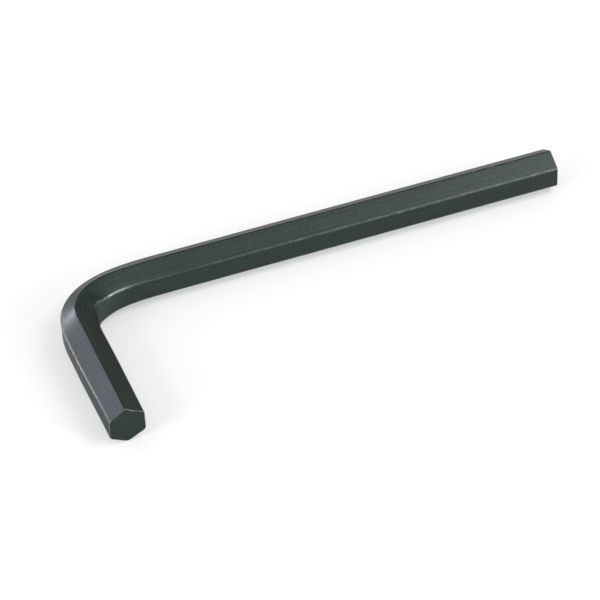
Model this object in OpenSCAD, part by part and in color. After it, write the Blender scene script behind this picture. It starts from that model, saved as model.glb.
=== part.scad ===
// Hex key: one length of hexagonal steel bar, bent once, with a chamfered drive tip on each arm.
// Millimetres. It lies on a corner edge: the long arm runs to +X, the short arm to -Y, up is +Z.
// The origin is on the floor, at the middle of the box around the key.

/* [Bar] */
// Drive size, measured between opposite flats
across_flats = 7; // [4:0.5:10]
// How far the drawn bar's corners stop short of a sharp hexagon
corner_trim = 0.115; // [0.05:0.005:0.18]

/* [Arms] */
// Long arm, from the outside of the short arm to the tip
long_length = 102; // [60:1:180]
// Short arm, from the outside of the long arm to the tip
short_length = 41; // [30:1:70]

/* [Bend] */
// Inside radius of the bend
inner_radius = 9; // [4:0.5:14]

/* [Tips] */
// How much the chamfer takes off each corner at the end face
chamfer_depth = 0.175; // [0.1:0.005:0.25]
// Length of the chamfer along the bar
chamfer_length = 0.3; // [0.15:0.01:0.6]

/* [Hidden] */

quarter_turn = 90;
hexagon_sides = 6;
round_facets = 96;

half_flats = across_flats / 2;
sharp_corner_radius = half_flats / cos(180 / hexagon_sides);
corner_radius = sharp_corner_radius - corner_trim;
tip_face_radius = corner_radius - chamfer_depth;

// The bend at the middle of the bar, and what it leaves straight on each arm
middle_radius = inner_radius + half_flats;
straight_long = long_length - half_flats - middle_radius;
straight_short = short_length - half_flats - middle_radius;

// Where the middle lines of the two arms would cross
corner_x = half_flats - long_length / 2;
corner_y = short_length / 2 - half_flats;
corner_z = corner_radius;

// The section: a hexagon with a corner up, its corners trimmed to an arc
module bar_section() {
    intersection() {
        rotate(quarter_turn)
            circle(r = sharp_corner_radius, $fn = hexagon_sides);
        circle(r = corner_radius, $fn = round_facets);
    }
}

// A straight length of bar along +Z, with a cone turned on its far end that takes only the corners off
module tipped_bar(length) {
    flare = chamfer_depth * length / chamfer_length;
    intersection() {
        linear_extrude(height = length)
            bar_section();
        cylinder(h = length, r1 = tip_face_radius + flare, r2 = tip_face_radius, $fn = round_facets);
    }
}

module long_arm() {
    translate([middle_radius, 0, 0])
        rotate([quarter_turn, 0, quarter_turn])
            tipped_bar(straight_long);
}

// The section swept through a quarter turn, flats on the inside and on the outside
module bend() {
    translate([middle_radius, -middle_radius, 0])
        rotate([0, 0, quarter_turn])
            rotate_extrude(angle = quarter_turn, $fn = round_facets)
                translate([middle_radius, 0])
                    bar_section();
}

module short_arm() {
    translate([0, -middle_radius, 0])
        rotate([quarter_turn, 0, 0])
            tipped_bar(straight_short);
}

module hex_key() {
    color([0.22, 0.25, 0.24])
        translate([corner_x, corner_y, corner_z]) {
            long_arm();
            bend();
            short_arm();
        }
}

hex_key();
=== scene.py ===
import math

import bpy
import numpy as np
from mathutils import Matrix, Vector


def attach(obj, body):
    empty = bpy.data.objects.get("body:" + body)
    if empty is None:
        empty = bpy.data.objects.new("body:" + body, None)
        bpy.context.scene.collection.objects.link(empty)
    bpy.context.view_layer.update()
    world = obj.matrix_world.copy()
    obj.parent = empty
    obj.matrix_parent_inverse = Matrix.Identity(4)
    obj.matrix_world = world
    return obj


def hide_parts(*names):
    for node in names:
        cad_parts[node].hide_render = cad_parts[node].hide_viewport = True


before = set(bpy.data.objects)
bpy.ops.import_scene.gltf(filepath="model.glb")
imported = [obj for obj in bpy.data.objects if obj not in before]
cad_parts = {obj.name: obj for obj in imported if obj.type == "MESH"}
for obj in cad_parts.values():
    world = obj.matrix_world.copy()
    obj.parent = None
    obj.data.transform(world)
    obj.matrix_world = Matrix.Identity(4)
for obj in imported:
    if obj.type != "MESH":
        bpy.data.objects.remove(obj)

# Sizes of the key in millimetres. These four have the same values as in the solid model
across_flats = 7.0
corner_trim = 0.115
long_length = 102.0
short_length = 41.0

# The edges of the end faces, as fine as on this key: how much comes off each corner, and over what length
chamfer_depth = 0.06
chamfer_length = 0.12

# The bend as it is on the real bar: the curve tightens slowly from the long arm and opens fast to the
# short one. Then how much the section changes with the curvature.
bend_ease_long = 21.4
bend_ease_short = 7.2
section_change = 0.37
# The former that it was bent round pinched the upper inner corner, most at this place along the bend and
# over this length to each side, outward and upward. The lower inner corner moved by a smaller share.
# From there on the bar is thinner by thinned, and back to full size over thinned_fade.
pinch_at = 19.2
pinch_length = 2.7
pinch_out = 0.54
pinch_up = 0.54
pinch_below = 0.3
thinned = 0.2
thinned_fade = 20.0
# How far each corner was drawn inward before that, from the upper outer corner over the top and round,
# most at this place along the bend and over this length to each side
drawn_in = np.array([0.0, 0.28, 0.0, 0.0, 0.0, 0.0])
drawn_in_at = 7.0
drawn_in_length = 5.5

# Small roundings of the drawn and turned edges, and how softly each chamfer starts, as a share of its
# length
corner_blend = 0.1
tip_edge_blend = 0.06
chamfer_ease = 0.15

# The short tip was cut off with a shear. It pressed each corner in by this much, from the upper outer
# corner over the top and round, in a slow curve over this length of the bar.
shear_press = np.array([0.37, 0.1, 0.0, 0.0, 0.03, 0.24])
shear_reach = 18.0
# Over the last few millimetres it drew the face out, by so much in all, per millimetre outward and upward,
# at each corner, and along the edge of the upper inner flat, where the rise takes this share of the width.
# It also moved each corner up or down.
face_reach = 5.5
face_further = 0.2
face_lean_out = 0.06
face_lean_up = 0.045
face_drawn = np.array([0.0, 0.0, 0.15, 0.2, 0.0, 0.0])
edge_drawn = 0.4
edge_drawn_from = 0.3
face_lift = np.array([0.0, -0.1, 0.0, 0.0, 0.13, 0.0])
# How softly the drawn part of each tip starts, as a share of its length
face_ease = 0.2
# The long tip's face is further out too, and leans by this much per millimetre upward
long_face_reach = 4.0
long_face_further = 0.06
long_face_lean_up = 0.02

# Wear and colour change steadily along the bar between eight places: the long tip, the middle of the
# long arm, the start of the bend, half way from there to its tightest place, the tightest place, the end
# of the bend, this far past it, and the short tip.
past_bend = 4.0
# How far each corner is rubbed bare, from the upper outer corner over the top to the inside and round:
corner_rub = np.array([
    [0.10, 0.08, 0.08, 0.15, 0.50, 0.90, 1.00, 0.62],
    [0.08, 0.03, 0.00, 0.00, 0.00, 0.00, 0.00, 0.00],
    [0.04, 0.04, 0.03, 0.04, 0.10, 0.25, 0.08, 0.10],
    [0.30, 0.20, 0.15, 0.20, 0.20, 0.20, 0.20, 0.30],
    [0.40, 0.50, 0.40, 0.40, 0.50, 0.50, 0.50, 0.40],
    [0.30, 0.30, 0.30, 0.40, 0.50, 0.40, 0.40, 0.30],
])
# The former also rubbed the upper inner corner bright, most at this place along the bend
former_rub = 0.32
former_rub_at = 13.4
former_rub_length = 0.8
# The cast of the black skin on each flat, from -1 olive over 0 green to 1 violet grey, from the outer
# upright flat over the top to the inner upright flat and round:
skin_cast = np.array([
    [0.5, 0.5, 0.5, 0.6, 0.7, 0.7, 0.7, 0.6],
    [0.4, 0.4, 0.5, 0.7, 1.0, 1.0, 1.0, 1.0],
    [0.35, 0.15, 0.1, 0.1, -0.1, -0.7, -0.9, -1.0],
    [0.2, 0.1, 0.0, 0.0, 0.0, 0.0, 0.0, 0.0],
    [0.2, 0.1, 0.1, 0.0, 0.0, 0.0, 0.0, 0.1],
    [0.3, 0.3, 0.3, 0.3, 0.3, 0.3, 0.3, 0.3],
])
# How far the edge round each end face is rubbed, for the same six flats, and how far from the face the
# rub is still full and has gone
tip_rub = np.array([0.35, 0.14, 0.42, 0.15, 0.15, 0.15])
tip_rub_full = 0.048
tip_rub_gone = 0.128
# The flat inside the bend is squeezed there. The material makes it rougher and lightens it with a painted
# sheen for the light that this flat mirrors: from how deep, as a share of the half width across flats, how
# far from its corners, and over what width it fades
squeezed_from = 0.9
squeezed_margin = 0.05
squeezed_fade = 0.2

# Rows of points along the bend and along the straight part of each arm
bend_rows = 141
long_arm_rows = 60
short_arm_rows = 24

# Places shared with the solid model
hexagon_sides = 6
side_turn = 2 * math.pi / hexagon_sides
half_flats = across_flats / 2
flat_half_width = half_flats / math.sqrt(3)
sharp_corner_radius = half_flats / math.cos(math.pi / hexagon_sides)
corner_radius = sharp_corner_radius - corner_trim
crossing_x = half_flats - long_length / 2
crossing_y = short_length / 2 - half_flats
millimetre = 0.001

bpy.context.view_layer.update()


# Colours and nodes

def linear(hex_colour):
    """Turns an sRGB hex colour into linear red, green, blue and alpha."""
    parts = [int(hex_colour[i:i + 2], 16) / 255 for i in (1, 3, 5)]
    return tuple(p / 12.92 if p <= 0.04045 else ((p + 0.055) / 1.055) ** 2.4 for p in parts) + (1.0,)


def add_node(tree, kind, inputs=None, **settings):
    """Adds a node. Its settings are set by name, and each input takes a value or another node's output."""
    node = tree.nodes.new(kind)
    for name, value in settings.items():
        setattr(node, name, value)
    for socket, value in (inputs or {}).items():
        if isinstance(value, bpy.types.NodeSocket):
            tree.links.new(value, node.inputs[socket])
        else:
            node.inputs[socket].default_value = value
    return node


def new_material(name):
    """An empty node material and its tree."""
    material = bpy.data.materials.new(name)
    material.use_nodes = True
    material.node_tree.nodes.clear()
    return material, material.node_tree


# The bar as a surface

def smooth_step(t):
    """Three t squared minus two t cubed, held at 0 and 1 outside its range."""
    t = np.clip(t, 0, 1)
    return t * t * (3 - 2 * t)


def rounded_ramp(t, width):
    """Zero below, t above, and a parabola that joins the two over plus and minus width."""
    return np.where(t > width, t, np.where(t < -width, 0, (t + width) ** 2 / (4 * width)))


def running_sum(values, places):
    """The integral of values over places by the trapezium rule, starting at zero."""
    steps = (values[1:] + values[:-1]) / 2 * np.diff(places)
    return np.concatenate([[0.0], np.cumsum(steps)])


def tip_rows():
    """Rows of the surface at a tip, from the middle of its end face to the full bar.

    Gives the distance from the end face, the distance of the flats from the middle line, the
    radius that trims the corners, and a scale that shrinks the rows of the flat end face.
    The rows of the chamfer, and those just after it, lie at shares of the chamfer's length.
    """
    face_scale = np.array([0.2, 0.4, 0.6, 0.8, 0.93, 0.985])
    turn = np.linspace(0, math.pi / 2, 6)
    edge_back = tip_edge_blend * (1 - np.cos(turn))
    edge_inset = tip_edge_blend * (1 - np.sin(turn))
    side_back = chamfer_length * np.array([0.6, 0.7, 0.82, 0.91, 1.0, 1.09, 1.18, 1.4])
    back = np.concatenate([np.zeros(len(face_scale)), edge_back, side_back])
    inset = np.concatenate([np.full(len(face_scale), edge_inset[0]), edge_inset, np.zeros(len(side_back))])
    trim = corner_radius - chamfer_depth * rounded_ramp(1 - back / chamfer_length, chamfer_ease)
    scale = np.concatenate([face_scale, np.ones(len(back) - len(face_scale))])
    return back, half_flats - inset, trim - inset, scale


def bar_line():
    """The middle line of the bar, from the long tip to the short tip.

    Its curvature rises along one smooth step and falls along another, and the heading is the
    integral of the curvature, scaled to a quarter turn. The place is the integral of the heading.
    Gives place, outward direction, curvature and length run for each row, and the rows' section.
    """
    run = np.linspace(0, bend_ease_long + bend_ease_short, bend_rows)
    curve = np.minimum(smooth_step(run / bend_ease_long), smooth_step((run[-1] - run) / bend_ease_short))
    heading = running_sum(curve, run)
    curve *= math.pi / 2 / heading[-1]
    heading *= math.pi / 2 / heading[-1]
    bend = np.column_stack([running_sum(-np.cos(heading), run), running_sum(-np.sin(heading), run)])
    bend[:, 0] -= bend[-1, 0]
    out = np.column_stack([-np.sin(heading), np.cos(heading)])

    back, flat, trim, scale = tip_rows()
    long_straight = long_length - half_flats - bend[0, 0]
    short_straight = short_length - half_flats + bend[-1, 1]
    long_rows = np.concatenate([back, np.linspace(back[-1], long_straight, long_arm_rows)[1:-1]])
    short_rows = np.concatenate([back, np.linspace(back[-1], short_straight, short_arm_rows)[1:-1]])

    place = np.vstack([
        np.column_stack([bend[0, 0] + long_straight - long_rows, np.zeros(len(long_rows))]),
        bend,
        np.column_stack([np.zeros(len(short_rows)), bend[-1, 1] - short_straight + short_rows])[::-1],
    ])
    outward = np.vstack([
        np.repeat(out[:1], len(long_rows), axis=0), out, np.repeat(out[-1:], len(short_rows), axis=0),
    ])
    curvature = np.concatenate([np.zeros(len(long_rows)), curve, np.zeros(len(short_rows))])
    total = long_straight + run[-1] + short_straight
    length_run = np.concatenate([long_rows, long_straight + run, total - short_rows[::-1]])

    plain = len(place) - 2 * len(back)
    flats = np.concatenate([flat, np.full(plain, half_flats), flat[::-1]])
    trims = np.concatenate([trim, np.full(plain, corner_radius), trim[::-1]])
    scales = np.concatenate([scale, np.ones(plain), scale[::-1]])
    return place, outward, curvature, length_run, flats, trims, scales


def bar_section(flats, trims):
    """The outline of the bar for every row: a hexagon with a corner up, trimmed by a circle.

    Each side is a straight flat, then an arc of the blend radius, then an arc of the trimming
    circle up to the next side. The blend arc touches the flat and the circle, so its centre is
    the blend radius inside both. Gives the outward and upward places, and for the points of one
    side how near each is to the corner before, to the corner after and to the next side, and how
    far across the side it is.
    """
    inner = (flats - corner_blend)[:, None]
    flat_end = np.sqrt((trims - corner_blend)[:, None] ** 2 - inner ** 2)
    touch = np.arctan2(flat_end, inner)

    along_flat = np.array([-1, -0.96, -0.6, -0.2, 0.2, 0.6, 0.96, 1])[None, :]
    blend = np.array([0.25, 0.5, 0.75, 1])[None, :]
    over = np.array([0.25, 0.5, 0.75])[None, :]

    before = touch * blend[:, ::-1]
    after = touch * blend
    corner = touch + (side_turn - 2 * touch) * over
    out = np.hstack([
        inner + corner_blend * np.cos(before),
        np.repeat(flats[:, None], along_flat.shape[1], axis=1),
        inner + corner_blend * np.cos(after),
        trims[:, None] * np.cos(corner),
    ])
    aside = np.hstack([
        -flat_end - corner_blend * np.sin(before),
        flat_end * along_flat,
        flat_end + corner_blend * np.sin(after),
        trims[:, None] * np.sin(corner),
    ])
    rows = len(flats)
    turn = side_turn * np.arange(hexagon_sides)[None, :, None]
    outward = out[:, None, :] * np.cos(turn) - aside[:, None, :] * np.sin(turn)
    upward = out[:, None, :] * np.sin(turn) + aside[:, None, :] * np.cos(turn)

    flat_points, blend_points, over_points = along_flat.shape[1], blend.shape[1], over.shape[1]
    near_last = np.concatenate([blend[0, ::-1], np.zeros(flat_points + blend_points + over_points)])
    near_next = np.concatenate([np.zeros(blend_points + flat_points), blend[0], np.ones(over_points)])
    past_side = np.concatenate([np.zeros(blend_points + flat_points + blend_points), over[0]])
    across_side = np.concatenate([
        np.zeros(blend_points), (1 + along_flat[0]) / 2, np.ones(blend_points + over_points),
    ])
    return outward.reshape(rows, -1), upward.reshape(rows, -1), near_last, near_next, past_side, across_side


def along_bar(table, length_run, stops):
    """A table of one row for each side and one column for each stop, run along the bar."""
    return np.stack([np.interp(length_run, stops, row) for row in table], axis=1)[:, :, None]


def from_corners(values, across_side):
    """One value for each corner, run straight across the sides from one corner to the next."""
    return (np.roll(values, 1)[:, None] * (1 - across_side) + values[:, None] * across_side).ravel()


def point_values(mesh, name, values, at_poles):
    """Stores one number for each point of the mesh, the two poles last."""
    attribute = mesh.attributes.new(name, "FLOAT", "POINT")
    attribute.data.foreach_set("value", np.concatenate([np.ravel(values), [at_poles, at_poles]]))


def build_key(name):
    """The bar section carried along the bar line, with the change that bending gives a section.

    With o outward, u upward, c the curvature and g the section change, a point moves to
    o + g c (u u - o o) / 2 and u (1 - g c o): the inside of the bend swells and the outside thins.
    The pinched corner moves outward and upward, and the top corner inward, by bell curves along the
    bend, and the bar after the pinch is thinner by a smooth step up and down. The sheared tip moves
    by a smooth step along the bar, and its last part by a rounded ramp, as does the long tip.
    Each end closes at a pole in the middle of its face.
    """
    place, outward, curvature, length_run, flats, trims, scales = bar_line()
    o, u, near_last, near_next, past_side, across_side = bar_section(flats, trims)
    side_points = len(across_side)
    shrunk = scales[:, None]
    o = o * shrunk
    u = u * shrunk
    pull = section_change * curvature[:, None]
    moved_o = o + pull / 2 * (u * u - o * o)
    moved_u = np.clip(u * (1 - pull * o), -corner_radius, corner_radius)

    # The pinched corner, across the upper inner, inner upright and lower inner flats
    in_bend = length_run[np.flatnonzero(curvature)]
    from_pinch = length_run - in_bend[0] - pinch_at
    pinch = np.exp(-(from_pinch / pinch_length) ** 2)
    thin = thinned * smooth_step(from_pinch / pinch_length) * smooth_step(1 - from_pinch / thinned_fade)
    by_inner = np.concatenate([
        np.zeros(2 * side_points), across_side, 1 - (1 - pinch_below) * across_side,
        pinch_below * (1 - across_side), np.zeros(side_points),
    ])
    moved_o = moved_o + (pinch_out * pinch + thin)[:, None] * by_inner
    moved_u = moved_u + (pinch_up * pinch)[:, None] * by_inner

    # The top corner, drawn inward as the bend starts
    from_drawn_in = (length_run - in_bend[0] - drawn_in_at) / drawn_in_length
    moved_o = moved_o - np.exp(-from_drawn_in ** 2)[:, None] * from_corners(drawn_in, across_side)

    # The sheared short tip
    drawn = from_corners(face_drawn, across_side)
    upper_inner = slice(2 * side_points, 3 * side_points)
    drawn[upper_inner] += edge_drawn * smooth_step(across_side / edge_drawn_from) * (1 - across_side)
    from_tip = length_run[-1] - length_run
    press = smooth_step(1 - from_tip / shear_reach) * scales
    moved_o = moved_o - press[:, None] * from_corners(shear_press, across_side)
    at_face = rounded_ramp(1 - from_tip / face_reach, face_ease)[:, None]
    moved_u = moved_u + at_face * shrunk * from_corners(face_lift, across_side)
    lean = at_face * (face_further + face_lean_out * o + face_lean_up * u + shrunk * drawn)

    # The long tip, cut a little out of square
    at_long_face = rounded_ramp(1 - length_run / long_face_reach, face_ease)[:, None]
    long_lean = at_long_face * (long_face_further + long_face_lean_up * u)

    rows, around = o.shape
    points = np.empty((rows, around, 3))
    points[..., 0] = crossing_x + place[:, None, 0] + outward[:, None, 0] * moved_o + long_lean
    points[..., 1] = crossing_y + place[:, None, 1] + outward[:, None, 1] * moved_o - lean
    points[..., 2] = corner_radius + moved_u
    poles = np.array([
        [crossing_x + place[0, 0] + long_face_further, crossing_y + place[0, 1], corner_radius],
        [crossing_x + place[-1, 0], crossing_y + place[-1, 1], corner_radius],
    ])
    vertices = np.vstack([points.reshape(-1, 3), poles]) * millimetre

    index = np.arange(rows * around).reshape(rows, around)
    beside = np.roll(index, -1, axis=1)
    sides = np.stack([index[:-1], index[1:], beside[1:], beside[:-1]], axis=-1).reshape(-1, 4)
    first = np.column_stack([np.full(around, rows * around), index[0], beside[0]])
    last = np.column_stack([np.full(around, rows * around + 1), beside[-1], index[-1]])

    mesh = bpy.data.meshes.new(name)
    mesh.from_pydata(vertices.tolist(), [], sides.tolist() + first.tolist() + last.tolist())
    mesh.shade_smooth()

    # The place that each point had in the straight bar, in millimetres, carries the grain round the bend
    straight = np.stack([np.repeat(length_run[:, None], around, axis=1), o, u], axis=-1).reshape(-1, 3)
    straight = np.vstack([straight, [[length_run[0], 0, 0], [length_run[-1], 0, 0]]])
    unbent = mesh.attributes.new("unbent", "FLOAT_VECTOR", "POINT")
    unbent.data.foreach_set("vector", straight.ravel())

    # Rubbed corners, and the rubbed edge round each end face
    full_size = (scales == 1)[:, None, None]
    tightest = length_run[np.argmax(curvature)]
    stops = [
        0, in_bend[0] / 2, in_bend[0], (in_bend[0] + tightest) / 2, tightest,
        in_bend[-1], in_bend[-1] + past_bend, length_run[-1],
    ]
    rub = along_bar(corner_rub, length_run, stops)
    from_former = (length_run - in_bend[0] - former_rub_at) / former_rub_length
    rub[:, 2, 0] += former_rub * np.exp(-from_former ** 2)
    rub = rub * near_next ** 2 + np.roll(rub, 1, axis=1) * near_last ** 2
    back = np.minimum(length_run, length_run[-1] - length_run)
    at_edge = np.clip((tip_rub_gone - back) / (tip_rub_gone - tip_rub_full), 0, 1)[:, None, None]
    edge = at_edge * (tip_rub[:, None] * (1 - past_side) + np.roll(tip_rub, -1)[:, None] * past_side)
    point_values(mesh, "worn_edge", np.maximum(rub, edge) * full_size, 0)

    # The cast of the skin, carried round each corner from one flat to the next
    cast = along_bar(skin_cast, length_run, stops)
    cast = cast * (1 - past_side) + np.roll(cast, -1, axis=1) * past_side
    point_values(mesh, "skin_cast", cast * full_size, 0)

    # The cut end faces, which are smoother than the drawn sides
    point_values(mesh, "cut_face", np.repeat((scales < 1) * 1.0, around), 1)

    # How far the bend has squeezed the steel here, from 0 on the arms to 1 inside the tightest place. It
    # makes the inner flat rougher and sets the strength of the painted sheen on it.
    across_flat = smooth_step((flat_half_width - squeezed_margin - np.abs(u)) / squeezed_fade)
    inner_flat = across_flat * (-o / half_flats > squeezed_from)
    point_values(mesh, "bend_amount", (curvature[:, None] / curvature.max()) ** 2 * inner_flat, 0)

    mesh.update()
    key = bpy.data.objects.new(name, mesh)
    bpy.context.scene.collection.objects.link(key)
    return key


# Materials

# The black skin: olive, green and violet grey. It dims what the steel mirrors, most at a low angle.
skin_colours = ("#3a413b", "#37423e", "#3d4043")
bare_steel = "#b4b7b6"
nicked_steel = "#c4c8c7"
skin_dimming = (0.6, 0.6, 0.6, 1.0)
# How much lighter the painted sheen makes the squeezed flat, in place of the light it mirrors, how bright
# the nicks and the knocks are, and how much of the satin grain is missing on a cut face
bend_flat_painted_sheen = 1.65
nick_strength = 0.24
knock_strength = 0.11
cut_face_calm = 0.7
# How far the patterns of the nicks and of the knocks are shifted along the bar
nick_shift = (1.2, 0, 0)
knock_shift = (0.5, 0, 0)
# Roughness of the skin from line to line, and what the squeezed flat adds and bare steel takes off
roughness_low = 0.29
roughness_high = 0.35
squeezed_rougher = 0.16
bare_smoother = -0.08
# Depth of the relief in metres
grain_depth = 0.000010
line_depth = 0.000005


def blackened_steel():
    """Drawn carbon steel, hardened and oil blackened.

    The oxide is a thin dark green-black skin with a satin sheen: fine lines from the drawing die
    run along the bar, cloudy patches show where the skin is thicker, and the corners are rubbed
    to bare grey steel with small bright nicks and longer knocks. All pattern sizes are millimetres.
    """
    material, tree = new_material("blackened_steel")
    bar = add_node(tree, "ShaderNodeAttribute", attribute_name="unbent").outputs["Vector"]
    rub = add_node(tree, "ShaderNodeAttribute", attribute_name="worn_edge").outputs["Fac"]
    bend = add_node(tree, "ShaderNodeAttribute", attribute_name="bend_amount").outputs["Fac"]
    cut = add_node(tree, "ShaderNodeAttribute", attribute_name="cut_face").outputs["Fac"]

    # Cloudy oxide patches, 14 mm along the bar and 5 mm round it
    drawn_out = add_node(
        tree, "ShaderNodeMapping", {"Vector": bar, "Scale": (1 / 14, 1 / 5, 1 / 5)},
    ).outputs["Vector"]
    clouds = add_node(
        tree, "ShaderNodeTexNoise", {"Vector": drawn_out, "Scale": 1.0, "Detail": 4.0, "Roughness": 0.6},
    ).outputs["Fac"]

    # Die lines 0.35 mm apart and 30 mm long: real ones are finer, drawn this coarse to show
    stretched = add_node(
        tree, "ShaderNodeMapping", {"Vector": bar, "Scale": (1 / 30, 1 / 0.35, 1 / 0.35)},
    ).outputs["Vector"]
    lines = add_node(
        tree, "ShaderNodeTexNoise", {"Vector": stretched, "Scale": 1.0, "Detail": 3.0, "Roughness": 0.55},
    ).outputs["Fac"]

    # Satin grain left by the blackening bath, 0.4 mm: coarser than real so that it shows
    calm = add_node(
        tree, "ShaderNodeMath", {0: cut, 1: cut_face_calm}, operation="MULTIPLY",
    ).outputs["Value"]
    grain = add_node(
        tree, "ShaderNodeTexNoise", {"Vector": bar, "Scale": 1 / 0.4, "Detail": 3.0, "Roughness": 0.65},
    ).outputs["Fac"]
    grain = add_node(tree, "ShaderNodeMix", {0: calm, 2: grain, 3: 0.5}, data_type="FLOAT").outputs[0]

    # The skin's colour by its cast, moved up and down by the clouds
    cast = add_node(tree, "ShaderNodeAttribute", attribute_name="skin_cast").outputs["Fac"]
    cast = add_node(
        tree, "ShaderNodeMapRange", {"Value": cast, "From Min": -1.0, "From Max": 1.0},
    ).outputs["Result"]
    cloudy = add_node(
        tree, "ShaderNodeMapRange",
        {"Value": clouds, "From Min": 0.3, "From Max": 0.7, "To Min": -0.2, "To Max": 0.2},
    ).outputs["Result"]
    cast = add_node(
        tree, "ShaderNodeMath", {0: cast, 1: cloudy}, operation="ADD", use_clamp=True,
    ).outputs["Value"]
    ramp = add_node(tree, "ShaderNodeValToRGB", {"Fac": cast})
    ramp.color_ramp.elements.new(0.5)
    for element, position, colour in zip(ramp.color_ramp.elements, (0.0, 0.5, 1.0), skin_colours):
        element.position = position
        element.color = linear(colour)

    # lighter and darker by the grain and the die lines, and lighter by a painted sheen on the squeezed flat
    # inside the bend
    flecks = add_node(
        tree, "ShaderNodeMapRange",
        {"Value": grain, "From Min": 0.3, "From Max": 0.7, "To Min": 0.82, "To Max": 1.18},
    ).outputs["Result"]
    streaks = add_node(
        tree, "ShaderNodeMapRange",
        {"Value": lines, "From Min": 0.3, "From Max": 0.7, "To Min": 0.9, "To Max": 1.1},
    ).outputs["Result"]
    # Painted sheen: the squeezed flat inside the bend is made lighter, in place of the light it mirrors
    painted_sheen = add_node(
        tree, "ShaderNodeMapRange", {"Value": bend, "To Min": 1.0, "To Max": bend_flat_painted_sheen},
    ).outputs["Result"]
    shade = add_node(tree, "ShaderNodeMath", {0: flecks, 1: streaks}, operation="MULTIPLY").outputs["Value"]
    shade = add_node(tree, "ShaderNodeMath", {0: shade, 1: painted_sheen}, operation="MULTIPLY").outputs["Value"]
    skin = add_node(
        tree, "ShaderNodeVectorMath", {0: ramp.outputs["Color"], "Scale": shade}, operation="SCALE",
    ).outputs["Vector"]

    # Bare steel: broken by a coarse noise along the rubbed corners, with a few brighter nicks where a corner
    # is rubbed
    broken = add_node(
        tree, "ShaderNodeTexNoise", {"Vector": bar, "Scale": 1 / 1.1, "Detail": 3.0, "Roughness": 0.7},
    ).outputs["Fac"]
    broken = add_node(
        tree, "ShaderNodeMapRange", {"Value": broken, "From Min": 0.3, "From Max": 0.6, "To Min": 0.35},
    ).outputs["Result"]
    bare = add_node(
        tree, "ShaderNodeMath", {0: rub, 1: broken}, operation="MULTIPLY", use_clamp=True,
    ).outputs["Value"]
    nick_place = add_node(
        tree, "ShaderNodeMapping",
        {"Vector": bar, "Location": nick_shift, "Scale": (1 / 1.3, 1 / 1.1, 1 / 1.1)},
    ).outputs["Vector"]
    nicks = add_node(tree, "ShaderNodeTexVoronoi", {"Vector": nick_place, "Scale": 1.0}).outputs["Distance"]
    nicks = add_node(
        tree, "ShaderNodeMapRange",
        {"Value": nicks, "From Min": 0.18, "From Max": 0.06, "To Max": nick_strength},
    ).outputs["Result"]

    # and short lengths, 1 to 3 mm long, where the corner has been knocked
    knock_place = add_node(
        tree, "ShaderNodeMapping", {"Vector": bar, "Location": knock_shift, "Scale": (1 / 2, 1 / 3, 1 / 3)},
    ).outputs["Vector"]
    knocks = add_node(
        tree, "ShaderNodeTexNoise", {"Vector": knock_place, "Scale": 1.0, "Detail": 2.0, "Roughness": 0.6},
    ).outputs["Fac"]
    knocks = add_node(
        tree, "ShaderNodeMapRange",
        {"Value": knocks, "From Min": 0.54, "From Max": 0.64, "To Max": knock_strength},
    ).outputs["Result"]
    marks = add_node(tree, "ShaderNodeMath", {0: nicks, 1: knocks}, operation="ADD").outputs["Value"]
    on_corner = add_node(
        tree, "ShaderNodeMapRange", {"Value": rub, "From Min": 0.02, "From Max": 0.06},
    ).outputs["Result"]
    marks = add_node(
        tree, "ShaderNodeMath", {0: marks, 1: on_corner}, operation="MULTIPLY",
    ).outputs["Value"]
    colour = add_node(
        tree, "ShaderNodeMix", {"Factor": bare, 6: skin, 7: linear(bare_steel)}, data_type="RGBA",
    ).outputs[2]
    colour = add_node(
        tree, "ShaderNodeMix", {"Factor": marks, 6: colour, 7: linear(nicked_steel)}, data_type="RGBA",
    ).outputs[2]

    # Roughness: satin, rougher on the squeezed flat and a little glossier where rubbed
    rough = add_node(
        tree, "ShaderNodeMapRange",
        {
            "Value": lines, "From Min": 0.25, "From Max": 0.75,
            "To Min": roughness_low, "To Max": roughness_high,
        },
    ).outputs["Result"]
    rough = add_node(
        tree, "ShaderNodeMath", {0: bend, 1: squeezed_rougher, 2: rough}, operation="MULTIPLY_ADD",
    ).outputs["Value"]
    rough = add_node(
        tree, "ShaderNodeMath", {0: bare, 1: bare_smoother, 2: rough}, operation="MULTIPLY_ADD",
    ).outputs["Value"]

    # Relief of the grain and of the die lines
    fine = add_node(tree, "ShaderNodeBump", {"Height": grain, "Distance": grain_depth}).outputs["Normal"]
    relief = add_node(
        tree, "ShaderNodeBump", {"Height": lines, "Distance": line_depth, "Normal": fine},
    ).outputs["Normal"]

    steel = add_node(
        tree, "ShaderNodeBsdfPrincipled",
        {
            "Base Color": colour, "Metallic": 1.0, "Roughness": rough,
            "Specular Tint": skin_dimming, "Normal": relief,
        },
    ).outputs["BSDF"]
    add_node(tree, "ShaderNodeOutputMaterial", {"Surface": steel})
    return material


key = build_key("bent_bar")
key.data.materials.append(blackened_steel())
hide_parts("hex_key")
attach(key, "root")


# Floor, light and camera

# The paper as the eye and the metal see it: its tone in the light, and how far its shadows are filled.
# As light on the key it has its own tone. It starts to turn plain white at fill_from metres out, and is
# plain white from fill_to on. The room light is the world's strength as light.
paper_tone = 1.132
paper_tone_as_light = 0.92
shadow_fill = 0.43
shadow_fill_colour = "#fafcff"
paper_white = "#ffffff"
fill_from = 0.16
fill_to = 0.4
room_light = 0.5


def seen_directly(tree):
    """One where the eye or the metal looks, and zero where a surface only gathers light."""
    path = add_node(tree, "ShaderNodeLightPath").outputs
    seen = add_node(
        tree, "ShaderNodeMath", {0: path["Is Camera Ray"], 1: path["Is Glossy Ray"]}, operation="MAXIMUM",
    ).outputs[0]
    return add_node(
        tree, "ShaderNodeMath", {0: seen, 1: path["Is Transmission Ray"]}, operation="MAXIMUM",
    ).outputs[0]


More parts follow.
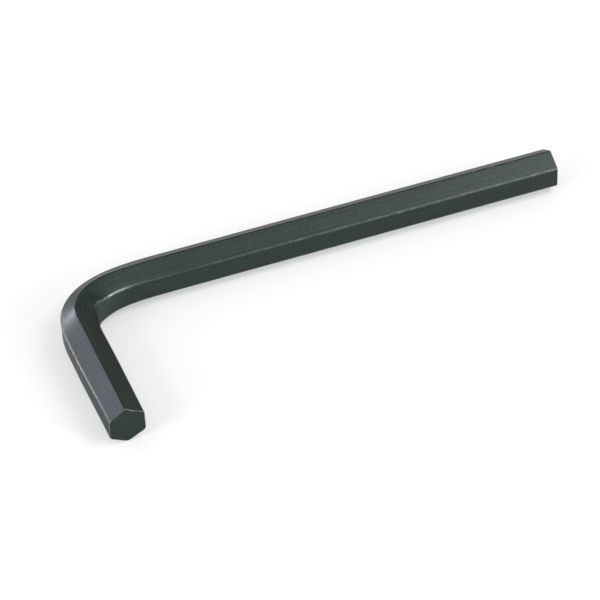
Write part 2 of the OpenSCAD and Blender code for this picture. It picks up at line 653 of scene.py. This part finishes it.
def paper_floor():
    """White seamless paper: matt, and plain white to the eye and to the metal away from the key."""
    material, tree = new_material("white_paper")
    seen = seen_directly(tree)
    place = add_node(tree, "ShaderNodeTexCoord").outputs["Object"]
    radius = add_node(tree, "ShaderNodeVectorMath", {0: place}, operation="LENGTH").outputs["Value"]
    far = add_node(
        tree, "ShaderNodeMapRange", {"Value": radius, "From Min": fill_from, "From Max": fill_to},
        interpolation_type="SMOOTHSTEP",
    ).outputs["Result"]
    white = add_node(
        tree, "ShaderNodeMapRange", {"Value": far, "To Min": shadow_fill, "To Max": 1.0},
    ).outputs["Result"]
    white = add_node(tree, "ShaderNodeMath", {0: white, 1: seen}, operation="MULTIPLY").outputs[0]
    tone = add_node(
        tree, "ShaderNodeMapRange", {"Value": seen, "To Min": paper_tone_as_light, "To Max": paper_tone},
    ).outputs["Result"]
    matt = add_node(tree, "ShaderNodeBsdfDiffuse", {"Color": tone}).outputs["BSDF"]
    fill = add_node(
        tree, "ShaderNodeMix",
        {"Factor": far, 6: linear(shadow_fill_colour), 7: linear(paper_white)}, data_type="RGBA",
    ).outputs[2]
    plain = add_node(tree, "ShaderNodeEmission", {"Color": fill}).outputs["Emission"]
    both = add_node(tree, "ShaderNodeMixShader", {0: white, 1: matt, 2: plain}).outputs["Shader"]
    add_node(tree, "ShaderNodeOutputMaterial", {"Surface": both})
    return material


floor_half = 3.0
floor_mesh = bpy.data.meshes.new("floor")
floor_mesh.from_pydata(
    [(-floor_half, -floor_half, 0), (floor_half, -floor_half, 0),
     (floor_half, floor_half, 0), (-floor_half, floor_half, 0)],
    [], [(0, 1, 2, 3)],
)
floor_mesh.materials.append(paper_floor())
floor = bpy.data.objects.new("floor", floor_mesh)
bpy.context.scene.collection.objects.link(floor)


def soft_box(name, place, aim, width, height, power, colour):
    """A rectangular lamp at place that faces aim. Metres and watts."""
    lamp = bpy.data.lights.new(name, "AREA")
    lamp.shape = "RECTANGLE"
    lamp.size = width
    lamp.size_y = height
    lamp.energy = power
    lamp.color = linear(colour)[:3]
    holder = bpy.data.objects.new(name, lamp)
    holder.location = place
    holder.rotation_euler = (Vector(aim) - Vector(place)).to_track_quat("-Z", "Y").to_euler()
    bpy.context.scene.collection.objects.link(holder)


# Three lamps behind the key, two at the right and one at the left. The first two stand where the outer
# upper flats of the short arm and of the bend mirror them.
soft_box("back_light", (-0.81, 1.11, 0.64), (-0.03, 0.0, 0.0), 0.22, 0.22, 0.9, "#f7f4ff")
soft_box("low_back_light", (-0.75, 1.28, 0.31), (-0.03, 0.0, 0.0), 0.14, 0.14, 3.7, "#fbf4ff")
soft_box("back_glow", (-0.25, 1.5, 0.17), (0.0, 0.0, 0.0), 0.8, 0.3, 2.6, "#fbfaff")
soft_box("right_light", (0.365, -0.21, 0.56), (0.03, 0.0, 0.0), 0.28, 0.28, 1.16, "#fff7fa")
soft_box("low_right_light", (0.9, -1.08, 0.51), (0.0, 0.0, 0.0), 0.6, 0.6, 10.0, "#fffaf4")
soft_box("left_light", (-1.29, -0.47, 0.61), (0.0, 0.0, 0.0), 0.7, 0.7, 8.5, "#ffffff")


# The board stands on an arc behind the key, from azimuth to azimuth in degrees from +Y toward +X, from
# foot to top in metres, and darkens from one height to the other
board_radius = 1.5
board_azimuths = (6, 90)
board_columns = 22
board_foot = 0.12
board_top = 1.9
board_light_tone = 0.82
board_dark_tone = 0.58
board_light_until = 0.5
board_dark_from = 1.2


def grey_board():
    """A graded grey board, outside the picture. Only the metal sees it, as in a product studio."""
    material, tree = new_material("grey_board")
    height = add_node(tree, "ShaderNodeTexCoord").outputs["Object"]
    height = add_node(tree, "ShaderNodeSeparateXYZ", {"Vector": height}).outputs["Z"]
    grey = add_node(
        tree, "ShaderNodeMapRange",
        {
            "Value": height, "From Min": board_light_until, "From Max": board_dark_from,
            "To Min": board_light_tone, "To Max": board_dark_tone,
        },
    ).outputs["Result"]
    glow = add_node(tree, "ShaderNodeEmission", {"Color": grey}).outputs["Emission"]
    add_node(tree, "ShaderNodeOutputMaterial", {"Surface": glow})
    round_key = np.radians(np.linspace(*board_azimuths, board_columns))
    foot = board_radius * np.column_stack([np.sin(round_key), np.cos(round_key)])
    lower = np.column_stack([foot, np.full(len(foot), board_foot)])
    upper = np.column_stack([foot, np.full(len(foot), board_top)])
    index = np.arange(len(foot))
    faces = np.column_stack([index[:-1], index[1:], index[1:] + len(foot), index[:-1] + len(foot)])
    mesh = bpy.data.meshes.new("grey_board")
    mesh.from_pydata(np.vstack([lower, upper]).tolist(), [], faces.tolist())
    mesh.materials.append(material)
    board = bpy.data.objects.new("grey_board", mesh)
    board.visible_camera = False
    board.visible_diffuse = False
    board.visible_shadow = False
    bpy.context.scene.collection.objects.link(board)


grey_board()


def studio_world():
    """Even soft room light. It is plain white to the eye and to the metal, and lower as light."""
    world = bpy.data.worlds.new("studio")
    bpy.context.scene.world = world
    world.use_nodes = True
    tree = world.node_tree
    tree.nodes.clear()
    strength = add_node(
        tree, "ShaderNodeMapRange", {"Value": seen_directly(tree), "To Min": room_light, "To Max": 1.0},
    ).outputs["Result"]
    sky = add_node(tree, "ShaderNodeBackground", {"Color": (1.0, 1.0, 1.0, 1.0), "Strength": strength})
    add_node(tree, "ShaderNodeOutputWorld", {"Surface": sky.outputs["Background"]})


studio_world()

# The camera, fitted to the edges of the bar in the photograph. Degrees and metres.
camera_aim = Vector((-0.007518, -0.000898, 0.003926))
camera_distance = 0.51315
camera_azimuth = 18.094
camera_elevation = 39.435
camera_roll = -3.913
camera_lens = 167.26

turn = math.radians(camera_azimuth)
tilt = math.radians(camera_elevation)
ahead = Vector((math.sin(turn) * math.cos(tilt), math.cos(turn) * math.cos(tilt), -math.sin(tilt)))
level_right = ahead.cross(Vector((0, 0, 1))).normalized()
level_up = level_right.cross(ahead)
roll = math.radians(camera_roll)
right = level_right * math.cos(roll) + level_up * math.sin(roll)
up = level_up * math.cos(roll) - level_right * math.sin(roll)

camera = bpy.data.cameras.new("camera")
camera.lens = camera_lens
camera.sensor_width = 36.0
camera.clip_start = 0.01
camera.clip_end = 20.0
viewer = bpy.data.objects.new("camera", camera)
viewer.matrix_world = Matrix((
    (right.x, up.x, -ahead.x, camera_aim.x - ahead.x * camera_distance),
    (right.y, up.y, -ahead.y, camera_aim.y - ahead.y * camera_distance),
    (right.z, up.z, -ahead.z, camera_aim.z - ahead.z * camera_distance),
    (0, 0, 0, 1),
))
bpy.context.scene.collection.objects.link(viewer)
bpy.context.scene.camera = viewer
bpy.context.scene.view_settings.view_transform = "Standard"
